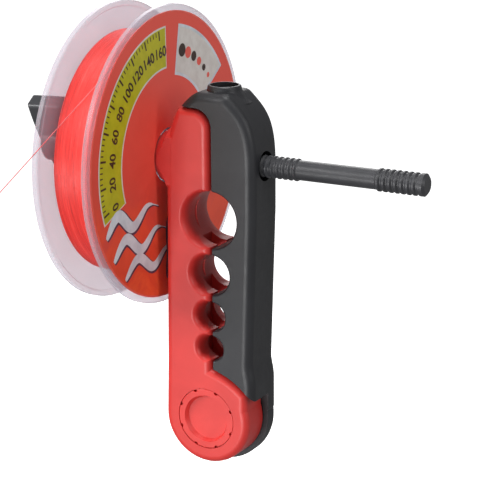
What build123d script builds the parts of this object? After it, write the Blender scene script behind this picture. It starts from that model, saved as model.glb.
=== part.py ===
from build123d import *
import os
import math

os.makedirs("parts", exist_ok=True)

# Frame: +Z up along the clamp body, +Y away from the viewer along the rod holes,
# +X towards the free end of the spindle. Origin on the axis of the smallest rod hole,
# halfway through the clamp. Millimetres.

# ---------------------------------------------------------------- driving dimensions
THICK = 17.6            # clamp thickness along Y
HALF_T = THICK / 2
HALF_W = 15.6           # half width of the clamp at the spindle
WAIST = 13.9            # half width just above the hinge on the fixed side
EDGE_R = 5.6            # rounding of the outer edges
SEAM = 0.6              # each jaw stands this far from the seam plane at rest
HOOD_Z = 79.3           # underside of the hood over the moving jaw
TOP_Z = 84.2            # top of the shoulders
NECK_X = 0.8
NECK_R = 5.5
NECK_TOP = 85.9
NECK_BORE = 4.55
HINGE_X, HINGE_Z = -2.4, -24.6
HUB_R = 15.4
LEFT_W = 16.45          # half width on the moving jaw's side, at the spindle
LEAN = 0.013            # how the moving jaw's side spreads towards the hinge
LUG_R = 17.2
LUG_Y0 = 2.4            # front face of the rear lug
HUB_Y1 = 2.0            # rear face of the jaw's hub
# lower edge of the fixed body over the jaw's hub, (x, z)
CUT_LINE = [(-14.0, -3.6), (-6.0, -5.0), (0.6, -7.0), (5.5, -8.9), (9.8, -11.5), (13.6, -15.0), (16.6, -18.6), (19.5, -23.0)]
SPINDLE_Z = 60.9
SPINDLE_R = 3.2
CREST_R = 3.62
BODY_BORE = 4.85
JAW_BORE = 3.7
# rod holes: height, radius
HOLES = [(43.2, 9.4), (24.9, 6.7), (10.8, 5.0), (0.0, 4.3)]
SLOT_HALF = 2.9         # slot behind the tips of the jaw's teeth
SLOT_X = -6.2
# spool
FRONT_X = -20.4         # outer face of the front flange
REAR_X = -40.5          # outer face of the rear flange
FLANGE_R = 49.0
FLANGE_T = 1.3
RIM_R0 = 47.2
RIM_T = 2.0
BORE_R = 8.9
DRUM_R = 30.0
WIND_R = 40.0
LABEL_R = 46.9


def cyl_y(x, z, r, y0, y1):
    """Cylinder along +Y."""
    return Pos(x, (y0 + y1) / 2, z) * Rot(90, 0, 0) * Cylinder(r, y1 - y0)


def cyl_x(x0, x1, r, y=0.0, z=SPINDLE_Z):
    """Cylinder along +X."""
    return Pos((x0 + x1) / 2, y, z) * Rot(0, 90, 0) * Cylinder(r, x1 - x0)


def cyl_z(x, y, r, z0, z1):
    return Pos(x, y, (z0 + z1) / 2) * Cylinder(r, z1 - z0)


def block(x0, x1, y0, y1, z0, z1):
    return Pos((x0 + x1) / 2, (y0 + y1) / 2, (z0 + z1) / 2) * Box(x1 - x0, y1 - y0, z1 - z0)


def spin_x(points, z=SPINDLE_Z):
    """Ring turned about the spindle axis; points are (x, radius)."""
    face = make_face(Polyline(*[(p[0], p[1], 0) for p in points], close=True))
    solid = revolve(face, Axis.X, 360)
    return Pos(0, 0, z) * solid


def closed_face(*curves):
    """Face inside a closed run of curves."""
    edges = []
    for c in curves:
        edges += c.edges()
    return make_face(Wire(edges))


def slab(face_xy, y0, y1):
    """A face drawn in (x, z) pushed from y0 to y1."""
    f = Rot(90, 0, 0) * face_xy            # local y becomes world z
    f = Pos(0, y1, 0) * f
    return extrude(f, amount=(y1 - y0), dir=(0, -1, 0))


def rounded(solid, y_planes, radius, keep=None):
    """Round the edges that lie wholly in the planes y = value."""
    picks = []
    for e in solid.edges():
        b = e.bounding_box()
        for y in y_planes:
            if abs(b.min.Y - y) < 1e-3 and abs(b.max.Y - y) < 1e-3:
                if keep is None or keep(e):
                    picks.append(e)
    r = radius
    while r > 0.2:
        try:
            out = fillet(picks, r)
            if out.is_valid and 0.9 * solid.volume < out.volume < solid.volume:
                return out
        except Exception:
            pass
        r *= 0.8
    return solid


def flare(x, z, r, f, side, depth=None):
    """Rounded mouth of a hole along Y; side -1 is the near face, +1 the far face.
    f is how far the mouth opens, depth how deep the rounding starts."""
    d = f if depth is None else depth
    arc = [(r + f - f * math.cos(math.radians(t)), d - d * math.sin(math.radians(t))) for t in range(0, 91, 10)]
    prof = [(0, -1.0), (r + f, -1.0)] + [(rr, q) for rr, q in reversed(arc)] + [(0, d)]
    ring = revolve(make_face(Polyline(*[(q, rr, 0) for rr, q in prof], close=True)), Axis.X, 360)
    # local +X is the depth below the face
    turn = Rot(0, 0, 90) if side < 0 else Rot(0, 0, -90)
    return Pos(x, side * HALF_T, z) * (turn * ring)


# ---------------------------------------------------------------- clamp outline
def clamp_face(v=LEFT_W, lean=LEAN):
    """Outline of both jaws together, in (x, z)."""
    w = HALF_W
    top = Spline(
        (w, 61.0), (w - 0.45, 68.4), (w - 2.1, 74.8), (w - 5.2, 79.6), (7.2, 82.8), (4.5, TOP_Z),
        tangents=((0, 1), (-1, 0.12)),
    )
    cap = Line((4.5, TOP_Z), (-4.5, TOP_Z))
    left_top = Spline(
        (-4.5, TOP_Z), (-7.3, 83.0), (-v + 5.3, 79.6), (-v + 2.5, 74.6), (-v + 0.6, 68.4), (-v, 61.0),
        tangents=((-1, -0.12), (0, -1)),
    )
    left = Line((-v, 61.0), (-v - lean * 77.0, -16.0))
    low_left = Line((-v - lean * 77.0, -16.0), (-v + 5, -34.0))
    low = Line((-v + 5, -34.0), (HINGE_X + 12.0, -34.0))
    low_right = Line((HINGE_X + 12.0, -34.0), (w - 0.7, -22.0))
    up1 = Line((w - 0.7, -22.0), (w - 0.7, -12.0))
    up2 = Spline((w - 0.7, -12.0), (w - 1.1, -8.2), (WAIST, -4.0), tangents=((0, 1), (0, 1)))
    up3 = Line((WAIST, -4.0), (w, 46.0))
    up4 = Line((w, 46.0), (w, 61.0))
    return make_face(Wire([top, cap, left_top, left, low_left, low, low_right, up1, up2, up3, up4]))


outline = slab(clamp_face(16.2, 0.0), -HALF_T, HALF_T)

# fixed body: outline with rounded outer edges ------------------------------
lug = cyl_y(HINGE_X, HINGE_Z, LUG_R, -HALF_T, HALF_T)
shell = rounded(outline + lug, (-HALF_T, HALF_T), EDGE_R)
neck_face = closed_face(
    Spline((9.0, 80.7), (7.3, 82.1), (6.1, 83.6), (NECK_R, 85.0), tangents=((-0.78, 0.62), (-0.03, 1.0))),
    Polyline((NECK_R, 85.0), (NECK_R - 0.12, 85.55), (NECK_R - 0.45, NECK_TOP), (0, NECK_TOP), (0, 76), (9.0, 76), (9.0, 80.7)))
neck = Pos(NECK_X, 0, 0) * revolve(neck_face.rotate(Axis.X, 90), Axis.Z, 360)
neck = neck & block(-30, 30, -HALF_T + 0.3, HALF_T - 0.3, 78.5, 90)
body = shell + neck
# room for the moving jaw, with a rounded inner corner under the hood
room = block(-40, SEAM, -30, 30, -70, HOOD_Z)
corner = block(SEAM - 6.2, SEAM, -30, 30, HOOD_Z - 6.2, HOOD_Z) - cyl_y(SEAM - 6.2, HOOD_Z - 6.2, 6.2, -30, 30)
room = room - corner
rear_lug = cyl_y(HINGE_X, HINGE_Z, LUG_R, LUG_Y0, HALF_T)
room = room - rear_lug
body = body - room
# the front of the lower end is cut away on a slope to clear the jaw's hub
cut = slab(closed_face(Spline(*CUT_LINE), Polyline(CUT_LINE[-1], (40, -30), (40, -80), (-40, -80), (-40, CUT_LINE[0][1]), CUT_LINE[0])),
           -30, LUG_Y0)
body = body - cut
# rod holes
for z, r in HOLES:
    body = body - cyl_y(0, z, r, -30, 30)
    body = body - flare(0, z, r, 0.6, -1) - flare(0, z, r, 0.6, 1)
# spindle hole and upright hole
body = body - cyl_x(-2, 30, BODY_BORE)
body = body - spin_x([(-1, 0), (-1, 6.2), (SEAM, 6.2), (9.0, BODY_BORE), (9.0, 0)])
body = body - cyl_z(NECK_X, 0, NECK_BORE, HOOD_Z, 95)
# pivot screw hole and nut pocket at the back
body = body - cyl_y(HINGE_X, HINGE_Z, 2.65, -30, 30)
NUT_AF = 8.0
pocket = slab(Pos(HINGE_X, HINGE_Z) * RegularPolygon(NUT_AF / 2 / math.cos(math.pi / 6) + 0.12, 6), HALF_T - 4.2, HALF_T + 5)
body = body - pocket

# ---------------------------------------------------------------- moving jaw
# upper part: left half of the outline below the hood
JAW_TOP = HOOD_Z - 0.6
CLEAR = 1.0             # room between the hub and the lower edge of the fixed body


def area(x0, x1, z0, z1):
    return Pos((x0 + x1) / 2, (z0 + z1) / 2) * Rectangle(x1 - x0, z1 - z0)


left_area = clamp_face() & area(-40, -SEAM, -12.0, JAW_TOP)
left_area = left_area - (area(-SEAM - 6.0, 5, JAW_TOP - 6.0, JAW_TOP + 5) - Pos(-SEAM - 6.0, JAW_TOP - 6.0) * Circle(6.0))
# straight side running on to the hub
px, pz = -LEFT_W - LEAN * 68.0, -7.0
far = math.hypot(px - HINGE_X, pz - HINGE_Z)
turn_on = math.atan2(pz - HINGE_Z, px - HINGE_X) + math.acos(HUB_R / far)
join = make_face(Polyline((px, pz), (-LEFT_W - LEAN * 59.0, 2.0), (-SEAM, 2.0), (-SEAM, -12.0), (HINGE_X, HINGE_Z),
                          (HINGE_X + HUB_R * math.cos(turn_on), HINGE_Z + HUB_R * math.sin(turn_on)), close=True))
over = closed_face(Spline(*[(x, z - CLEAR) for x, z in CUT_LINE]),
                   Polyline((CUT_LINE[-1][0], CUT_LINE[-1][1] - CLEAR), (40, -24), (40, 60), (CUT_LINE[0][0], 60),
                            (CUT_LINE[0][0], CUT_LINE[0][1] - CLEAR)))
over = over & area(-SEAM, 60, -60, 60)
tip = (HINGE_X + HUB_R * math.cos(0.30), HINGE_Z + HUB_R * math.sin(0.30))
shoulder = make_face(Polyline((-SEAM - 2.0, -4.0), (12.0, -4.0), (tip[0], tip[1] + 3.0), tip,
                              (HINGE_X, HINGE_Z), (-SEAM - 2.0, -12.0), close=True))
hub_area = (join + Pos(HINGE_X, HINGE_Z) * Circle(HUB_R) + shoulder) - over
front_area = left_area + hub_area
back_area = left_area - Pos(HINGE_X, HINGE_Z) * Circle(LUG_R + 0.5)
jaw = slab(front_area, -HALF_T, HUB_Y1) + slab(back_area, HUB_Y1, HALF_T)
jaw = rounded(jaw, (-HALF_T,), 2.3)
jaw = rounded(jaw, (HALF_T,), 1.6, keep=lambda e: e.center().Z > 0)
for z, r in HOLES:
    f = 2.1 - 0.06 * (r - 5.0)
    jaw = jaw - cyl_y(0, z, r, -30, 30)
    jaw = jaw - flare(-1.4, z, r - 1.1, f, -1, 7.6) - flare(-1.4, z, r - 1.1, f, 1, 7.6)
# slot behind the tooth tips
slot = block(SLOT_X, 5, -SLOT_HALF, SLOT_HALF, -5.6, 38.5)
slot = slot + cyl_z(SLOT_X, 0, SLOT_HALF, -5.6, 38.5) if False else slot
jaw = jaw - slot
# centring boss towards the spool
boss = spin_x([(-LEFT_W + 3, 0), (-LEFT_W + 3, 11.8), (-16.3, 11.7), (-16.8, 10.7), (-17.6, 9.9), (-18.8, 9.15), (-20.2, 8.5), (-21.8, 7.3),
               (-23.6, 5.5), (-24.6, 4.6), (-24.9, 4.1), (-24.9, 0)])
jaw = jaw + (boss & block(-40, 5, -HALF_T + 0.02, HALF_T - 0.02, 40, 80))
# bush seat, spindle bore and upright bore
jaw = jaw - cyl_x(-30, 5, JAW_BORE + 0.05)
jaw = jaw - cyl_x(-9.0, 5, 6.0)
# pivot bores and cap seat
SLEEVE_R = 4.0
CAP_R = 10.2
jaw = jaw - cyl_y(HINGE_X, HINGE_Z, SLEEVE_R + 0.05, -30, 30)
jaw = jaw - cyl_y(HINGE_X, HINGE_Z, CAP_R + 0.12, -HALF_T - 5, -HALF_T + 2.6)
jaw = jaw - cyl_y(HINGE_X, HINGE_Z, 6.6, -HALF_T - 5, -HALF_T + 6.4)

# cap with a recessed middle and eight notches round its edge
cap = cyl_y(HINGE_X, HINGE_Z, CAP_R, -HALF_T, -HALF_T + 2.5)
cap = rounded(cap, (-HALF_T,), 0.3)
recess = spin_x([(0, 0), (0, 8.0), (1.5, 7.2), (1.5, 0)], z=0)
recess = Pos(HINGE_X, -HALF_T, HINGE_Z) * (Rot(0, 0, 90) * recess)
cap = cap - recess
for k in range(8):
    a = math.radians(45 * k + 22.5)
    cap = cap - cyl_y(HINGE_X + CAP_R * math.cos(a), HINGE_Z + CAP_R * math.sin(a), 0.75, -HALF_T - 1, -HALF_T + 1.0)
cap = cap + (cyl_y(HINGE_X, HINGE_Z, 6.3, -HALF_T + 2.4, -HALF_T + 3.0) - cyl_y(HINGE_X, HINGE_Z, 5.4, -HALF_T + 2.0, -HALF_T + 3.4))

# pivot screw, washer, sleeve, thrust washer and nut
Y_SEAT = -HALF_T + 6.4
screw = cyl_y(HINGE_X, HINGE_Z, 2.45, Y_SEAT - 1.0, HALF_T - 0.5)
head = cyl_y(HINGE_X, HINGE_Z, 4.6, Y_SEAT - 3.1, Y_SEAT - 0.8)
head = rounded(head, (Y_SEAT - 3.1,), 0.9)
screw = screw + head
screw = screw - slab(Pos(HINGE_X, HINGE_Z) * RegularPolygon(1.7, 6), Y_SEAT - 4, Y_SEAT - 1.7)
washer = cyl_y(HINGE_X, HINGE_Z, 5.9, Y_SEAT - 0.8, Y_SEAT - 0.05) - cyl_y(HINGE_X, HINGE_Z, 2.6, -30, 30)
sleeve = cyl_y(HINGE_X, HINGE_Z, SLEEVE_R, Y_SEAT - 0.05, LUG_Y0 - 0.02) - cyl_y(HINGE_X, HINGE_Z, 2.52, -30, 30)
thrust = cyl_y(HINGE_X, HINGE_Z, 9.0, HUB_Y1 + 0.06, LUG_Y0 - 0.0) - cyl_y(HINGE_X, HINGE_Z, SLEEVE_R + 0.12, -30, 30)
nut = slab(Pos(HINGE_X, HINGE_Z) * RegularPolygon(NUT_AF / 2 / math.cos(math.pi / 6), 6), HALF_T - 4.15, HALF_T - 0.6)
nut = nut - cyl_y(HINGE_X, HINGE_Z, 2.52, -30, 30)

# threaded bush held in the moving jaw
bush = extrude(Rot(0, 90, 0) * RegularPolygon(5.9, 6), amount=6.5)
bush = Pos(-8.9, 0, SPINDLE_Z) * bush
bush = bush - cyl_x(-30, 10, JAW_BORE)

# ---------------------------------------------------------------- spindle with cross handle
END_X = 71.4
points = [(-66.0, 0), (-66.0, 6.4), (-52.0, 6.4), (-47.2, 5.4), (-46.2, 4.8), (-46.2, SPINDLE_R)]
points += [(-12.0, SPINDLE_R)]
pitch = 2.0
x = -12.0
while x < 26.6:                       # ribs from inside the jaw to just outside the body
    points += [(x + 0.25, SPINDLE_R), (x + 0.8, CREST_R), (x + 1.2, CREST_R), (x + 1.75, SPINDLE_R)]
    x += pitch
points += [(54.6, SPINDLE_R)]
x = 54.9
for k in range(7):
    points += [(x, SPINDLE_R), (x + 0.5, CREST_R + 0.05), (x + 1.1, CREST_R + 0.05), (x + 1.6, SPINDLE_R)]
    x += pitch
points += [(END_X - 2.0, SPINDLE_R), (END_X - 2.0, CREST_R), (END_X - 0.7, CREST_R), (END_X, CREST_R - 0.9), (END_X, 0)]
spindle = spin_x(points)
# cross handle: a bow-tie bar, turned about the spindle axis
BAR_ANGLE = 34.5
bar_face = make_face(Wire([
    Spline((-66.4, 19.4), (-67.6, 10.0), (-68.1, 0.0), (-67.6, -10.0), (-66.4, -19.4)),
    Line((-66.4, -19.4), (-53.6, -20.2)),
    Spline((-53.6, -20.2), (-56.5, -12.3), (-57.0, -6.0)),
    Line((-57.0, -6.0), (-57.0, 6.0)),
    Spline((-57.0, 6.0), (-56.5, 12.3), (-53.6, 20.2)),
    Line((-53.6, 20.2), (-66.4, 19.4)),
]))
bar = slab(bar_face, -3.0, 3.0)
bar = rounded(bar, (-3.0, 3.0), 1.2)
bar = Pos(0, 0, SPINDLE_Z) * (Rot(BAR_ANGLE, 0, 0) * bar)
spindle = spindle + bar

# cone that centres the far side of the spool
cone = spin_x([(-46.1, 3.5), (-46.1, 11.2), (-44.6, 11.6), (-42.4, 9.9), (-40.2, 8.1), (-36.4, 5.4), (-35.6, 4.6), (-35.6, 3.5)])

# ---------------------------------------------------------------- line spool
X_MID = (FRONT_X + REAR_X) / 2


def half_spool(x_out, sign, drum_r, drum_x):
    """Flange with a thickened rim, drum wall and bore tube. sign points into the spool."""
    s = sign
    pts = [(x_out, BORE_R), (x_out, FLANGE_R - 0.3), (x_out + s * 0.3, FLANGE_R), (x_out + s * (RIM_T - 0.3), FLANGE_R),
           (x_out + s * RIM_T, FLANGE_R - 0.3), (x_out + s * RIM_T, RIM_R0 + 0.3), (x_out + s * FLANGE_T, RIM_R0 - 0.4),
           (x_out + s * FLANGE_T, drum_r), (drum_x, drum_r), (drum_x, drum_r - 1.3), (x_out + s * FLANGE_T, drum_r - 1.3),
           (x_out + s * FLANGE_T, BORE_R + 1.4), (x_out + s * 7.0, BORE_R + 1.4), (x_out + s * 7.0, BORE_R)]
    return spin_x(pts)


front_half = half_spool(FRONT_X, -1, DRUM_R, REAR_X + FLANGE_T + 0.1)
rear_half = half_spool(REAR_X, 1, DRUM_R - 1.4, X_MID + 2.0)
winding = spin_x([(REAR_X + FLANGE_T + 0.15, DRUM_R + 0.05), (REAR_X + FLANGE_T + 0.15, WIND_R - 0.9), (REAR_X + FLANGE_T + 1.2, WIND_R),
                  (FRONT_X - FLANGE_T - 1.2, WIND_R), (FRONT_X - FLANGE_T - 0.15, WIND_R - 0.9), (FRONT_X - FLANGE_T - 0.15, DRUM_R + 0.05)])
label = spin_x([(FRONT_X + 0.02, 9.1), (FRONT_X + 0.02, LABEL_R), (FRONT_X + 0.2, LABEL_R), (FRONT_X + 0.2, 9.1)])

# ---------------------------------------------------------------- free end of the line, drawn off tight
LINE_D = 0.30
LX = -24.6
dy, dz = -0.9188, -0.3948            # direction of the pull
ty, tz = -0.3948, 0.9188             # where it leaves the winding
start = (LX, (WIND_R + 0.33) * ty, SPINDLE_Z + (WIND_R + 0.33) * tz)
RUN = 84.0
tail = Pos(*start) * (Rot(0, 0, 0) * extrude(Plane(origin=(0, 0, 0), z_dir=(0, dy, dz)) * Circle(LINE_D / 2), amount=RUN))
# small stopper knot at the end of the line
knot = Pos(start[0], start[1] + dy * (RUN + 0.9), start[2] + dz * (RUN + 0.9)) * extrude(
    Plane(origin=(0, -dy * 0.9, -dz * 0.9), z_dir=(0, dy, dz)) * Circle(0.62), amount=1.8)

nodes = {
    "clamp_body": body,
    "swing_jaw": jaw,
    "pivot_cap": cap,
    "pivot_screw": screw,
    "pivot_head_washer": washer,
    "pivot_sleeve": sleeve,
    "pivot_thrust_washer": thrust,
    "pivot_nut": nut,
    "spindle_bush": bush,
    "cross_handle_spindle": spindle,
    "spool_rear_cone": cone,
    "spool_front_half": front_half,
    "spool_rear_half": rear_half,
    "line_winding": winding,
    "spool_label": label,
    "line_tail": tail,
    "line_end_knot": knot,
}
for name, shape in nodes.items():
    export_step(shape, f"parts/{name}.step")
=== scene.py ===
import bpy, bmesh, math, random
from mathutils import Vector, Matrix, noise


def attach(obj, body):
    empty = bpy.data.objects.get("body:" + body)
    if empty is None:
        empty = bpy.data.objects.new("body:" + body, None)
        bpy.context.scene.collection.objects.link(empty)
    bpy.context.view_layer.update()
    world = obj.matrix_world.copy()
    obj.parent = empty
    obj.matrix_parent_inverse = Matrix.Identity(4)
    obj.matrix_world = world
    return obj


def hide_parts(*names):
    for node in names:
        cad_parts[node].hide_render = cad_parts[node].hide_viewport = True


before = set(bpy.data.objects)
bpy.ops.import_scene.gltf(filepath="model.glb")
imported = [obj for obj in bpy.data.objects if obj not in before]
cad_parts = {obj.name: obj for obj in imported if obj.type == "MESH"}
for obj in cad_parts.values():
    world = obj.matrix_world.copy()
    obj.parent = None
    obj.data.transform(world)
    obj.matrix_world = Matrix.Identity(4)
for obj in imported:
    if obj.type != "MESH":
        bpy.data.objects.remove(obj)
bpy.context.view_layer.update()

random.seed(7)
scene = bpy.context.scene
MM = 0.001
AX_Z = 60.9                                   # spindle height, mm
WORLD = 0.30


# ------------------------------------------------------------------ camera
def make_camera():
    az, el, roll = math.radians(28.505), math.radians(15.432), math.radians(-0.30)
    fwd = Vector((-math.sin(az) * math.cos(el), math.cos(az) * math.cos(el), -math.sin(el)))
    right = Vector((math.cos(az), math.sin(az), 0.0))
    up = right.cross(fwd)
    r = right * math.cos(roll) + up * math.sin(roll)
    u = -right * math.sin(roll) + up * math.cos(roll)
    cam = bpy.data.cameras.new("view_camera")
    obj = bpy.data.objects.new("view_camera", cam)
    scene.collection.objects.link(obj)
    m = Matrix((
        (r.x, u.x, -fwd.x, 0.3002),
        (r.y, u.y, -fwd.y, -0.5349),
        (r.z, u.z, -fwd.z, 0.2037),
        (0, 0, 0, 1)))
    obj.matrix_world = m
    cam.sensor_fit = "HORIZONTAL"
    cam.sensor_width = 36.0
    cam.lens = 36.0 * 1960.5 / 500.0
    cam.clip_start = 0.01
    cam.clip_end = 50
    scene.camera = obj


make_camera()


# ------------------------------------------------------------------ material helpers
def new_mat(name):
    m = bpy.data.materials.new(name)
    m.use_nodes = True
    nt = m.node_tree
    nt.nodes.clear()
    out = nt.nodes.new("ShaderNodeOutputMaterial")
    return m, nt, out


def add(nt, kind, **props):
    n = nt.nodes.new(kind)
    for k, v in props.items():
        setattr(n, k, v)
    return n


def link(nt, a, b):
    nt.links.new(a, b)


def setv(node, **vals):
    for k, v in vals.items():
        node.inputs[k.replace("_", " ")].default_value = v


def noise_node(nt, vec, scale, detail=3.0, rough=0.5, dist=0.0):
    n = add(nt, "ShaderNodeTexNoise")
    n.inputs["Scale"].default_value = scale
    n.inputs["Detail"].default_value = detail
    n.inputs["Roughness"].default_value = rough
    n.inputs["Distortion"].default_value = dist
    link(nt, vec, n.inputs["Vector"])
    return n


def ramp(nt, fac, stops):
    n = add(nt, "ShaderNodeValToRGB")
    while len(n.color_ramp.elements) < len(stops):
        n.color_ramp.elements.new(0.5)
    for e, (p, c) in zip(n.color_ramp.elements, stops):
        e.position = p
        e.color = (*c, 1.0) if len(c) == 3 else c
    link(nt, fac, n.inputs["Fac"])
    return n


def moulded(name, lo, hi, r_lo, r_hi, grain=5200.0, bump=0.12, coat=0.0, spec=0.5, sss=0.0):
    """Injection-moulded plastic: fine spark grain, slow flow mottling, faint scuffs."""
    m, nt, out = new_mat(name)
    co = add(nt, "ShaderNodeTexCoord").outputs["Object"]
    slow = noise_node(nt, co, 55.0, 3.0, 0.55, 0.4)
    col = ramp(nt, slow.outputs["Fac"], [(0.32, lo), (0.68, hi)])
    fine = noise_node(nt, co, grain, 2.0, 0.6)
    mid = noise_node(nt, co, 420.0, 4.0, 0.62)
    scuff_map = add(nt, "ShaderNodeMapping")
    scuff_map.inputs["Scale"].default_value = (900.0, 900.0, 90.0)
    scuff_map.inputs["Rotation"].default_value = (0.2, 0.35, 0.1)
    link(nt, co, scuff_map.inputs["Vector"])
    scuff = noise_node(nt, scuff_map.outputs["Vector"], 1.0, 4.0, 0.7)
    rr = add(nt, "ShaderNodeMix", data_type="FLOAT")
    rr.inputs["A"].default_value = r_lo
    rr.inputs["B"].default_value = r_hi
    mixed = add(nt, "ShaderNodeMath", operation="MULTIPLY_ADD")
    link(nt, scuff.outputs["Fac"], mixed.inputs[0])
    mixed.inputs[1].default_value = 0.6
    link(nt, mid.outputs["Fac"], mixed.inputs[2])
    sub = add(nt, "ShaderNodeMath", operation="SUBTRACT", use_clamp=True)
    link(nt, mixed.outputs[0], sub.inputs[0])
    sub.inputs[1].default_value = 0.3
    link(nt, sub.outputs[0], rr.inputs["Factor"])
    b1 = add(nt, "ShaderNodeBump")
    b1.inputs["Strength"].default_value = bump
    b1.inputs["Distance"].default_value = 0.00006
    link(nt, fine.outputs["Fac"], b1.inputs["Height"])
    b2 = add(nt, "ShaderNodeBump")
    b2.inputs["Strength"].default_value = 0.05
    b2.inputs["Distance"].default_value = 0.0004
    link(nt, mid.outputs["Fac"], b2.inputs["Height"])
    link(nt, b1.outputs["Normal"], b2.inputs["Normal"])
    p = add(nt, "ShaderNodeBsdfPrincipled")
    link(nt, col.outputs["Color"], p.inputs["Base Color"])
    link(nt, rr.outputs["Result"], p.inputs["Roughness"])
    link(nt, b2.outputs["Normal"], p.inputs["Normal"])
    p.inputs["Specular IOR Level"].default_value = spec
    p.inputs["Coat Weight"].default_value = coat
    if sss:
        p.inputs["Subsurface Weight"].default_value = sss
        p.inputs["Subsurface Radius"].default_value = (0.0016, 0.0004, 0.0003)
        p.inputs["Subsurface Scale"].default_value = 1.0
    link(nt, p.outputs["BSDF"], out.inputs["Surface"])
    return m


def clear_plastic(name, tint=(0.875, 0.855, 0.885), haze=0.13):
    """Thin clear styrene: mostly see-through, a milky lavender haze, sharp reflections."""
    m, nt, out = new_mat(name)
    co = add(nt, "ShaderNodeTexCoord").outputs["Object"]
    swirl = noise_node(nt, co, 60.0, 3.0, 0.5, 1.2)
    trans = add(nt, "ShaderNodeBsdfTransparent")
    tcol = ramp(nt, swirl.outputs["Fac"], [(0.3, tuple(c * 0.97 for c in tint)), (0.7, tint)])
    link(nt, tcol.outputs["Color"], trans.inputs["Color"])
    p = add(nt, "ShaderNodeBsdfPrincipled")
    p.inputs["Base Color"].default_value = (0.72, 0.69, 0.76, 1)
    p.inputs["IOR"].default_value = 1.5
    sc = noise_node(nt, co, 900.0, 3.0, 0.6)
    rr = add(nt, "ShaderNodeMapRange")
    rr.inputs["To Min"].default_value = 0.16
    rr.inputs["To Max"].default_value = 0.27
    link(nt, sc.outputs["Fac"], rr.inputs["Value"])
    link(nt, rr.outputs["Result"], p.inputs["Roughness"])
    fr = add(nt, "ShaderNodeLayerWeight")
    fr.inputs["Blend"].default_value = 0.25
    fac = add(nt, "ShaderNodeMapRange")
    fac.inputs["From Min"].default_value = 0.0
    fac.inputs["From Max"].default_value = 0.9
    fac.inputs["To Min"].default_value = haze
    fac.inputs["To Max"].default_value = 0.8
    link(nt, fr.outputs["Facing"], fac.inputs["Value"])
    mix = add(nt, "ShaderNodeMixShader")
    link(nt, fac.outputs["Result"], mix.inputs["Fac"])
    link(nt, trans.outputs["BSDF"], mix.inputs[1])
    link(nt, p.outputs["BSDF"], mix.inputs[2])
    link(nt, mix.outputs["Shader"], out.inputs["Surface"])
    return m


def steel(name):
    m, nt, out = new_mat(name)
    co = add(nt, "ShaderNodeTexCoord").outputs["Object"]
    mp = add(nt, "ShaderNodeMapping")
    mp.inputs["Scale"].default_value = (400.0, 5000.0, 400.0)
    link(nt, co, mp.inputs["Vector"])
    n = noise_node(nt, mp.outputs["Vector"], 1.0, 3.0, 0.6)
    col = ramp(nt, n.outputs["Fac"], [(0.3, (0.36, 0.36, 0.37)), (0.7, (0.62, 0.62, 0.63))])
    p = add(nt, "ShaderNodeBsdfPrincipled")
    p.inputs["Metallic"].default_value = 1.0
    link(nt, col.outputs["Color"], p.inputs["Base Color"])
    rr = add(nt, "ShaderNodeMapRange")
    rr.inputs["To Min"].default_value = 0.25
    rr.inputs["To Max"].default_value = 0.45
    link(nt, n.outputs["Fac"], rr.inputs["Value"])
    link(nt, rr.outputs["Result"], p.inputs["Roughness"])
    link(nt, p.outputs["BSDF"], out.inputs["Surface"])
    return m


BLACK = moulded("black_plastic", (0.0165, 0.0168, 0.0195), (0.0245, 0.0250, 0.0285), 0.36, 0.54, bump=0.16, spec=0.42)
BLACK_SHAFT = moulded("black_plastic_shaft", (0.028, 0.0285, 0.032), (0.041, 0.0415, 0.047), 0.32, 0.48, bump=0.10, spec=0.5)
RED = moulded("red_plastic", (0.56, 0.028, 0.024), (0.66, 0.038, 0.032), 0.34, 0.50, bump=0.08, sss=0.08)
# painted light: the pivot cap gets a brighter copy of the jaw's red plastic, standing in for the stronger light that
# falls on the lower hub
RED_CAP_PAINTED_LIGHT = moulded("red_plastic_cap_painted_light", (0.60, 0.032, 0.028), (0.70, 0.045, 0.038), 0.34, 0.50, bump=0.08, sss=0.08)
CLEAR = clear_plastic("clear_styrene")
STEEL = steel("zinc_steel")
ACETAL = moulded("natural_acetal", (0.62, 0.61, 0.57), (0.70, 0.69, 0.65), 0.35, 0.5, bump=0.05)


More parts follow.
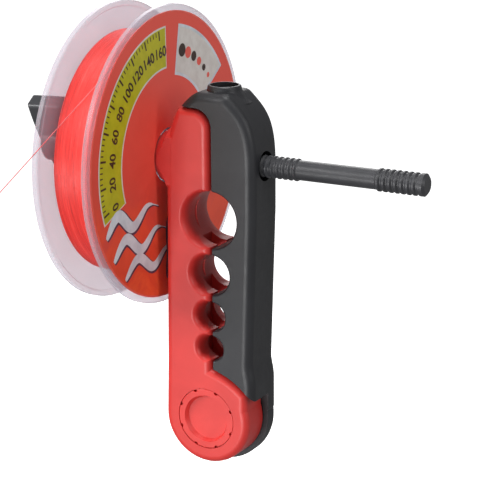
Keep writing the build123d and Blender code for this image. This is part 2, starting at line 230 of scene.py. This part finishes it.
def line_material(name, fine=True):
    """Braided red line: colour runs round the spool and is darker where the strand noise is low, in the grooves of
    its bump, as painted shade between the strands; slower bands vary the tone.
    """
    m, nt, out = new_mat(name)
    co = add(nt, "ShaderNodeTexCoord").outputs["Object"]
    sep = add(nt, "ShaderNodeSeparateXYZ")
    link(nt, co, sep.inputs[0])
    # angle round the spindle axis
    dz = add(nt, "ShaderNodeMath", operation="SUBTRACT")
    link(nt, sep.outputs["Z"], dz.inputs[0])
    dz.inputs[1].default_value = AX_Z * MM
    ang = add(nt, "ShaderNodeMath", operation="ARCTAN2")
    link(nt, dz.outputs[0], ang.inputs[0])
    link(nt, sep.outputs["Y"], ang.inputs[1])
    comb = add(nt, "ShaderNodeCombineXYZ")
    link(nt, sep.outputs["X"], comb.inputs["X"])
    sc = add(nt, "ShaderNodeMath", operation="MULTIPLY")
    link(nt, ang.outputs[0], sc.inputs[0])
    sc.inputs[1].default_value = 0.0011
    link(nt, sc.outputs[0], comb.inputs["Y"])
    strands = noise_node(nt, comb.outputs["Vector"], 3600.0, 3.0, 0.7)
    bands = noise_node(nt, comb.outputs["Vector"], 620.0, 3.0, 0.6)
    # painted shade: the strand noise that raises the bump also darkens the colour in its low grooves, mixed with the
    # slower tone bands
    strand_shade_and_tone = add(nt, "ShaderNodeMath", operation="MULTIPLY_ADD")
    link(nt, strands.outputs["Fac"], strand_shade_and_tone.inputs[0])
    strand_shade_and_tone.inputs[1].default_value = 0.55
    half = add(nt, "ShaderNodeMath", operation="MULTIPLY")
    link(nt, bands.outputs["Fac"], half.inputs[0])
    half.inputs[1].default_value = 0.45
    link(nt, half.outputs[0], strand_shade_and_tone.inputs[2])
    col = ramp(nt, strand_shade_and_tone.outputs[0], [(0.30, (0.34, 0.010, 0.010)), (0.42, (0.72, 0.024, 0.018)), (0.55, (0.90, 0.036, 0.027)), (0.70, (0.98, 0.10, 0.08))])
    p = add(nt, "ShaderNodeBsdfPrincipled")
    link(nt, col.outputs["Color"], p.inputs["Base Color"])
    p.inputs["Roughness"].default_value = 0.42
    p.inputs["Sheen Weight"].default_value = 0.25
    p.inputs["Sheen Roughness"].default_value = 0.4
    b = add(nt, "ShaderNodeBump")
    b.inputs["Strength"].default_value = 0.35
    b.inputs["Distance"].default_value = 0.00012
    link(nt, strands.outputs["Fac"], b.inputs["Height"])
    link(nt, b.outputs["Normal"], p.inputs["Normal"])
    link(nt, p.outputs["BSDF"], out.inputs["Surface"])
    return m


LINE = line_material("red_line")


# ------------------------------------------------------------------ CAD nodes: finishes
def paint(node, mat):
    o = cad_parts[node]
    o.data.materials.clear()
    o.data.materials.append(mat)
    for poly in o.data.polygons:
        poly.material_index = 0


for n in ("clamp_body", "spool_rear_cone"):
    paint(n, BLACK)
paint("cross_handle_spindle", BLACK_SHAFT)
paint("swing_jaw", RED)
# the cap's brighter red is painted light, not a different plastic
paint("pivot_cap", RED_CAP_PAINTED_LIGHT)
for n in ("spool_front_half", "spool_rear_half"):
    paint(n, CLEAR)
for n in ("pivot_screw", "pivot_head_washer", "pivot_sleeve", "pivot_nut"):
    paint(n, STEEL)
for n in ("pivot_thrust_washer", "spindle_bush"):
    paint(n, ACETAL)


# ------------------------------------------------------------------ wound line
def mesh_object(name, verts, faces, mat, smooth=True):
    me = bpy.data.meshes.new(name)
    me.from_pydata(verts, [], faces)
    me.materials.append(mat)
    if smooth:
        for p in me.polygons:
            p.use_smooth = True
    me.update()
    o = bpy.data.objects.new(name, me)
    scene.collection.objects.link(o)
    return o


def winding():
    x0, x1 = -39.0, -21.9
    r_in, r_out = 30.05, 40.0
    turns = 44
    per = 5
    n = 288
    verts, faces = [], []
    prof = []
    steps = turns * per
    for i in range(steps + 1):
        t = i / steps
        prof.append((x0 + (x1 - x0) * t, t))
    rows = len(prof) + 2
    for k in range(n):
        a = 2 * math.pi * k / n
        ca, sa = math.cos(a), math.sin(a)
        ring = []
        ring.append((x0 + 0.05, r_in))
        for x, t in prof:
            edge = min(1.0, min(t, 1 - t) / 0.055)
            base = r_out - 0.25 - 1.5 * (1 - edge) ** 2
            wave = 0.10 * noise.noise((x * 0.45, math.cos(a) * 1.2, math.sin(a) * 1.2)) + 0.05 * noise.noise((x * 1.7, math.cos(a) * 4.0, math.sin(a) * 4.0))
            drift = 0.22 * noise.noise((x * 0.3 + 9.0, math.cos(a) * 1.6, math.sin(a) * 1.6))
            strand = 0.075 * abs(math.cos(math.pi * turns * t + 3.0 * drift + a * 0.5 * 0))
            r = min(base + wave + strand, r_out - 0.02)
            ring.append((x, r))
        ring.append((x1 - 0.05, r_in))
        for x, r in ring:
            verts.append((x * MM, r * ca * MM, (AX_Z + r * sa) * MM))
    m = rows
    for k in range(n):
        k2 = (k + 1) % n
        for j in range(m - 1):
            faces.append((k * m + j, k * m + j + 1, k2 * m + j + 1, k2 * m + j))
        faces.append((k * m + m - 1, k * m, k2 * m, k2 * m + m - 1))
    o = mesh_object("wound_line", verts, faces, LINE)
    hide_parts("line_winding")
    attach(o, "spool")
    return o


winding()


# ------------------------------------------------------------------ free line
def free_line():
    dy, dz = -0.9188, -0.3948
    ty, tz = -0.3948, 0.9188
    r = 40.0 + 0.33
    start = Vector((-24.6, r * ty, AX_Z + r * tz)) * MM
    run = 84.0 * MM
    d = Vector((0, dy, dz)).normalized()
    cu = bpy.data.curves.new("free_line", "CURVE")
    cu.dimensions = "3D"
    sp = cu.splines.new("NURBS")
    sp.points.add(2)
    pts = [start, start + d * run * 0.5 + Vector((0, 0, -0.00012)), start + d * run]
    for p, q in zip(sp.points, pts):
        p.co = (*q, 1.0)
    sp.order_u = 3
    sp.use_endpoint_u = True
    cu.bevel_depth = 0.00015
    cu.bevel_resolution = 3
    cu.resolution_u = 12
    cu.materials.append(LINE_THREAD)
    o = bpy.data.objects.new("free_line", cu)
    scene.collection.objects.link(o)
    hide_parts("line_tail")
    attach(o, "jaw")
    # stopper knot: an overhand knot pulled down on the line
    kc = bpy.data.curves.new("free_line_knot", "CURVE")
    kc.dimensions = "3D"
    ks = kc.splines.new("NURBS")
    side = d.cross(Vector((1, 0, 0))).normalized()
    x = Vector((1, 0, 0))
    base = start + d * (run + 0.9 * MM)
    knots = []
    for i in range(17):
        t = 2 * math.pi * (i / 16.0) * 0.94 + 0.2
        a = math.sin(t) + 2 * math.sin(2 * t)
        b = math.cos(t) - 2 * math.cos(2 * t)
        c = -math.sin(3 * t)
        knots.append(base + (x * a * 0.115 + side * b * 0.115 + d * c * 0.42) * MM)
    knots = [start + d * (run - 0.1 * MM)] + knots + [base + d * 0.8 * MM + x * 0.1 * MM]
    ks.points.add(len(knots) - 1)
    for p, q in zip(ks.points, knots):
        p.co = (*q, 1.0)
    ks.order_u = 3
    ks.use_endpoint_u = True
    kc.bevel_depth = 0.00015
    kc.bevel_resolution = 3
    kc.materials.append(LINE_THREAD)
    ko = bpy.data.objects.new("free_line_knot", kc)
    scene.collection.objects.link(ko)
    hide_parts("line_end_knot")
    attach(ko, "jaw")


LINE_THREAD = moulded("thread_red", (0.80, 0.12, 0.13), (0.90, 0.20, 0.20), 0.35, 0.5, grain=9000.0, bump=0.2)
free_line()


# ------------------------------------------------------------------ label
LABEL_X = -20.2


def label_paper():
    m, nt, out = new_mat("label_print")
    co = add(nt, "ShaderNodeTexCoord").outputs["Object"]
    sep = add(nt, "ShaderNodeSeparateXYZ")
    link(nt, co, sep.inputs[0])
    h = add(nt, "ShaderNodeMapRange")
    h.inputs["From Min"].default_value = (AX_Z - 47) * MM
    h.inputs["From Max"].default_value = (AX_Z + 47) * MM
    link(nt, sep.outputs["Z"], h.inputs["Value"])
    swirl = noise_node(nt, co, 34.0, 4.0, 0.55, 2.6)
    f = add(nt, "ShaderNodeMath", operation="MULTIPLY_ADD")
    link(nt, swirl.outputs["Fac"], f.inputs[0])
    f.inputs[1].default_value = 0.62
    link(nt, h.outputs["Result"], f.inputs[2])
    col = ramp(nt, f.outputs[0], [(0.10, (0.94, 0.098, 0.030)), (0.30, (0.98, 0.120, 0.036)), (0.42, (0.86, 0.078, 0.032)), (0.55, (0.96, 0.098, 0.042)), (0.70, (0.84, 0.084, 0.054)), (1.0, (0.92, 0.104, 0.072))])
    dots = noise_node(nt, co, 2600.0, 2.0, 0.6)
    p = add(nt, "ShaderNodeBsdfPrincipled")
    link(nt, col.outputs["Color"], p.inputs["Base Color"])
    rr = add(nt, "ShaderNodeMapRange")
    rr.inputs["To Min"].default_value = 0.32
    rr.inputs["To Max"].default_value = 0.46
    link(nt, dots.outputs["Fac"], rr.inputs["Value"])
    link(nt, rr.outputs["Result"], p.inputs["Roughness"])
    link(nt, p.outputs["BSDF"], out.inputs["Surface"])
    return m


def ink(name, lo, hi, rough=0.4, metal=0.0, scale=240.0):
    m, nt, out = new_mat(name)
    co = add(nt, "ShaderNodeTexCoord").outputs["Object"]
    n = noise_node(nt, co, scale, 3.0, 0.6, 0.3)
    col = ramp(nt, n.outputs["Fac"], [(0.3, lo), (0.7, hi)])
    p = add(nt, "ShaderNodeBsdfPrincipled")
    link(nt, col.outputs["Color"], p.inputs["Base Color"])
    p.inputs["Roughness"].default_value = rough
    p.inputs["Metallic"].default_value = metal
    g = noise_node(nt, co, 3000.0, 2.0, 0.6)
    b = add(nt, "ShaderNodeBump")
    b.inputs["Strength"].default_value = 0.05
    b.inputs["Distance"].default_value = 0.00003
    link(nt, g.outputs["Fac"], b.inputs["Height"])
    link(nt, b.outputs["Normal"], p.inputs["Normal"])
    link(nt, p.outputs["BSDF"], out.inputs["Surface"])
    return m


PAPER = label_paper()
YELLOW = ink("ink_yellow", (0.50, 0.47, 0.010), (0.62, 0.57, 0.018))
DARK = ink("ink_dark", (0.035, 0.018, 0.012), (0.07, 0.03, 0.02))
SILVER = ink("ink_silver", (0.62, 0.66, 0.72), (0.84, 0.87, 0.93), 0.3, 0.0, 160.0)
RIM_RED = ink("ink_rim", (0.90, 0.10, 0.07), (0.95, 0.16, 0.12))
PLUM = ink("ink_plum", (0.045, 0.018, 0.045), (0.12, 0.06, 0.11))
PALE = ink("ink_pale", (0.72, 0.66, 0.62), (0.84, 0.80, 0.76))
paint("spool_label", PAPER)


def flat(name, pts, mat, lift):
    """A printed patch on the label: outline in (u, v) millimetres about the spindle axis, u along +Y."""
    bm = bmesh.new()
    vs = [bm.verts.new(((LABEL_X + lift) * MM, u * MM, (AX_Z + v) * MM)) for u, v in pts]
    f = bm.faces.new(vs)
    f.normal_update()
    if f.normal.x < 0:
        bmesh.ops.reverse_faces(bm, faces=[f])
    bmesh.ops.triangulate(bm, faces=bm.faces[:])
    me = bpy.data.meshes.new(name)
    bm.to_mesh(me)
    bm.free()
    me.materials.append(mat)
    o = bpy.data.objects.new(name, me)
    scene.collection.objects.link(o)
    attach(o, "spool")
    return o


def arc_band(r0, r1, a0, a1, n=48):
    out = [(r1 * math.cos(math.radians(a0 + (a1 - a0) * i / n)), r1 * math.sin(math.radians(a0 + (a1 - a0) * i / n))) for i in range(n + 1)]
    out += [(r0 * math.cos(math.radians(a1 + (a0 - a1) * i / n)), r0 * math.sin(math.radians(a1 + (a0 - a1) * i / n))) for i in range(n + 1)]
    return out


def brush(points, width, n=40):
    """A tapering stroke along a smooth run of points."""
    def cr(p0, p1, p2, p3, t):
        return tuple(0.5 * ((2 * p1[i]) + (-p0[i] + p2[i]) * t + (2 * p0[i] - 5 * p1[i] + 4 * p2[i] - p3[i]) * t * t + (-p0[i] + 3 * p1[i] - 3 * p2[i] + p3[i]) * t ** 3) for i in (0, 1))
    pts = [points[0]] + list(points) + [points[-1]]
    line = []
    segs = len(points) - 1
    for s in range(segs):
        for k in range(n // segs):
            line.append(cr(pts[s], pts[s + 1], pts[s + 2], pts[s + 3], k / (n // segs)))
    line.append(points[-1])
    left, right = [], []
    for i, p in enumerate(line):
        a = line[max(0, i - 1)]
        b = line[min(len(line) - 1, i + 1)]
        d = Vector((b[0] - a[0], b[1] - a[1]))
        d.normalize()
        t = i / (len(line) - 1)
        w = width * (0.12 + 0.88 * math.sin(math.pi * min(1.0, t * 1.15 + 0.02)) ** 0.7) * (1 - 0.5 * t)
        left.append((p[0] - d.y * w / 2, p[1] + d.x * w / 2))
        right.append((p[0] + d.y * w / 2, p[1] - d.x * w / 2))
    return left + right[::-1]


def disc_outline(r, n=96):
    return [(r * math.cos(2 * math.pi * i / n), r * math.sin(2 * math.pi * i / n)) for i in range(n)]


def label_art():
    # curved scale band with plain numbers, upper left
    flat("print_band_edge", arc_band(28.6, 42.4, 91, 201), PALE, 0.012)
    flat("print_band", arc_band(29.2, 41.8, 91.6, 200.4), YELLOW, 0.020)
    for i in range(0, 41):
        a = 97 + i * 2.5
        major = i % 5 == 0
        r1 = 41.4
        r0 = 38.3 if major else 39.9
        w = 0.50 if major else 0.32
        flat(f"print_tick_{i:02d}", arc_band(r0, r1, a - w, a + w, 3), DARK, 0.030)
    font_mat = DARK
    for j, txt in enumerate(("160", "140", "120", "100", "80", "60", "40", "20", "0")):
        a = 97 + j * 12.5
        cu = bpy.data.curves.new(f"print_number_{j}", "FONT")
        cu.body = txt
        cu.size = 0.0047
        cu.align_x = "CENTER"
        cu.align_y = "CENTER"
        cu.extrude = 0.000004
        cu.offset = 0.00012
        cu.materials.append(font_mat)
        o = bpy.data.objects.new(f"print_number_{j}", cu)
        scene.collection.objects.link(o)
        r = 34.2
        ca, sa = math.cos(math.radians(a)), math.sin(math.radians(a))
        # text plane faces +X, its up direction points away from the axis
        upv = Vector((0, ca, sa))
        xv = Vector((0, sa, -ca))
        nv = xv.cross(upv)
        mw = Matrix.Identity(4)
        for q, vec in enumerate((xv, upv, nv)):
            for c in range(3):
                mw[c][q] = vec[c]
        mw.translation = Vector(((LABEL_X + 0.034) * MM, r * ca * MM, (AX_Z + r * sa) * MM))
        o.matrix_world = mw
        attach(o, "spool")
    # pale plate with dots of growing size, upper right
    flat("print_plate_edge", arc_band(26.0, 42.6, 34, 80), SILVER, 0.012)
    flat("print_plate", arc_band(27.0, 41.6, 35.5, 78.5), PALE, 0.020)
    for i in range(6):
        a = math.radians(40 + i * 6.8)
        r = 34.3
        dot = 0.9 + 0.26 * i
        flat(f"print_dot_{i}", [(r * math.cos(a) + dot * math.cos(2 * math.pi * q / 24), r * math.sin(a) + dot * math.sin(2 * math.pi * q / 24)) for q in range(24)],
             DARK if i % 2 else RIM_RED, 0.030)
    # silver waves with a dark outline, lower left
    for i, (pts, w) in enumerate((
        (((-38.5, -19.5), (-31.5, -13.5), (-23.0, -19.0), (-14.0, -14.0), (-7.0, -15.5)), 5.0),
        (((-34.5, -28.0), (-27.0, -22.0), (-18.0, -27.5), (-9.0, -22.5), (-2.0, -24.0)), 4.6),
        (((-28.0, -35.5), (-20.0, -30.0), (-11.0, -35.0), (-2.5, -30.5), (5.0, -32.0)), 4.2),
    )):
        flat(f"print_wave_shadow_{i}", brush([(u + 0.35, v - 0.45) for u, v in pts], w * 1.24, 72), PLUM, 0.014 + 0.004 * i)
        flat(f"print_wave_{i}", brush(pts, w, 72), SILVER, 0.030 + 0.004 * i)
    # plum drop near the middle right
    flat("print_drop", brush(((-1.5, -41.5), (1.0, -33.0), (0.0, -22.0), (5.0, -14.0)), 8.5, 60), PLUM, 0.050)
    # thin line round the edge of the print
    flat("print_rim_left", arc_band(46.25, 46.85, 90, 270, 90), RIM_RED, 0.012)
    flat("print_rim_right", arc_band(46.25, 46.85, -90, 90, 90), RIM_RED, 0.012)


label_art()

# ------------------------------------------------------------------ stage
def stage():
    m, nt, out = new_mat("studio_floor")
    co = add(nt, "ShaderNodeTexCoord").outputs["Object"]
    n = noise_node(nt, co, 6.0, 3.0, 0.5)
    col = ramp(nt, n.outputs["Fac"], [(0.3, (0.93, 0.93, 0.935)), (0.7, (0.95, 0.95, 0.955))])
    d = add(nt, "ShaderNodeBsdfDiffuse")
    link(nt, col.outputs["Color"], d.inputs["Color"])
    e = add(nt, "ShaderNodeEmission")
    e.inputs["Color"].default_value = (1, 1, 1, 1)
    e.inputs["Strength"].default_value = 0.86
    s = add(nt, "ShaderNodeAddShader")
    link(nt, d.outputs["BSDF"], s.inputs[0])
    link(nt, e.outputs["Emission"], s.inputs[1])
    link(nt, s.outputs["Shader"], out.inputs["Surface"])
    # round floor that sweeps up on every side
    zf, rf, rc = -0.30, 2.2, 0.9
    prof = [(0.02, zf), (0.8, zf), (1.6, zf), (rf, zf)]
    for t in range(1, 13):
        a = math.radians(90 * t / 12)
        prof.append((rf + rc * math.sin(a), zf + rc * (1 - math.cos(a))))
    prof += [(rf + rc, 2.2), (2.2, 3.3), (0.02, 3.5)]
    n_side = 64
    verts, faces = [], []
    for i in range(n_side):
        a = 2 * math.pi * i / n_side
        for r, z in prof:
            verts.append((r * math.cos(a), r * math.sin(a), z))
    k = len(prof)
    for i in range(n_side):
        j = (i + 1) % n_side
        for q in range(k - 1):
            faces.append((i * k + q, j * k + q, j * k + q + 1, i * k + q + 1))
    me = bpy.data.meshes.new("studio_floor")
    me.from_pydata(verts, [], faces)
    for p in me.polygons:
        p.use_smooth = True
    me.materials.append(m)
    o = bpy.data.objects.new("studio_floor", me)
    scene.collection.objects.link(o)
    # seen by the camera only, so that the lights alone shape the object
    o.visible_diffuse = False
    o.visible_glossy = False
    o.visible_shadow = False
    w = bpy.data.worlds.new("studio")
    w.use_nodes = True
    w.node_tree.nodes["Background"].inputs["Color"].default_value = (1, 1, 1, 1)
    w.node_tree.nodes["Background"].inputs["Strength"].default_value = WORLD
    scene.world = w

    def area(name, loc, target, size, power, col=(1, 1, 1)):
        L = bpy.data.lights.new(name, "AREA")
        L.shape = "RECTANGLE"
        L.size, L.size_y = size
        L.energy = power
        L.color = col
        ob = bpy.data.objects.new(name, L)
        scene.collection.objects.link(ob)
        ob.location = loc
        ob.rotation_euler = (Vector(target) - Vector(loc)).to_track_quat("-Z", "Y").to_euler()
        ob.visible_camera = False
        return ob

    area("key_softbox", (-0.80, -0.72, 0.62), (0, 0, 0.04), (0.45, 0.45), 10.5)
    area("low_fill", (-0.10, -1.0, -0.22), (0, 0, -0.01), (0.45, 0.30), 6.5)
    area("top_box", (0.05, -0.10, 1.05), (0, 0, 0.05), (0.5, 0.5), 6.0)
    area("right_strip", (0.9, -0.15, 0.45), (0, 0, 0.05), (0.12, 0.6), 2.2)
    area("back_light", (-0.5, 0.8, 0.5), (0, 0, 0.06), (0.6, 0.6), 4.0)


stage()
scene.view_settings.view_transform = "Standard"
scene.view_settings.look = "None"
